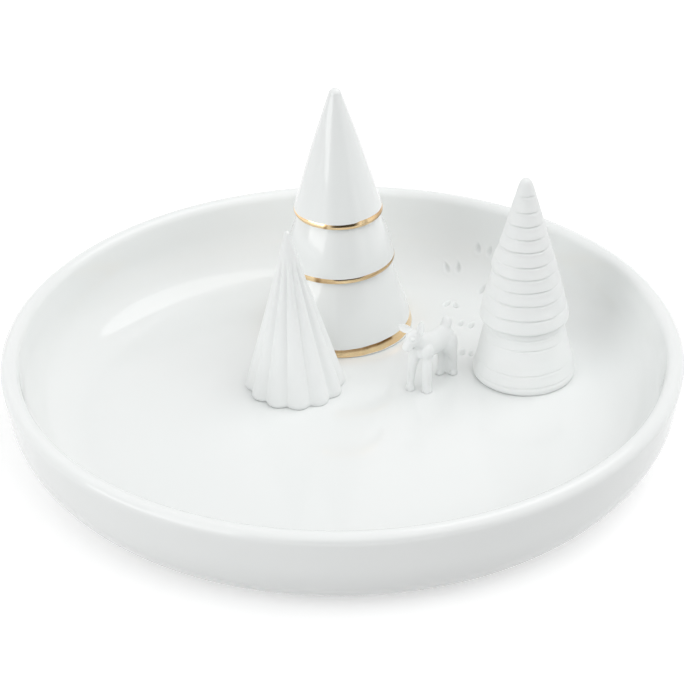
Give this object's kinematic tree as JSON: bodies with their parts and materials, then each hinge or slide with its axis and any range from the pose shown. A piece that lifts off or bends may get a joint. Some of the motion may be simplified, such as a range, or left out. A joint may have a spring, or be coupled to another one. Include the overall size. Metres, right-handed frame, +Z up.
{
  "type": "ring dish",
  "caption": "Round porcelain ring dish with a raised wall, cone trees that hold rings, gold-banded rims and a standing fawn.",
  "frame": {"origin": "centre of the dish's foot, on the surface that it stands on", "axes": "+Z up; +X to the right and +Y to the back, where the trees stand at the back and right of the dish"},
  "size_m": [0.12, 0.12, 0.0529],
  "materials": {
    "white_glaze": "clear glossy glaze over white porcelain",
    "bisque": "unglazed white porcelain, smooth and matt",
    "gold_lustre": "fired gold lustre, mirror bright with slight brush marks"
  },
  "bodies": {
    "root": {"dish": "white_glaze", "tall_tree": "white_glaze", "gold_band_upper": "gold_lustre", "gold_band_middle": "gold_lustre", "gold_band_lower": "gold_lustre", "pleated_tree": "bisque", "ridged_tree": "bisque", "fawn": "bisque"}
  },
  "joints": []
}
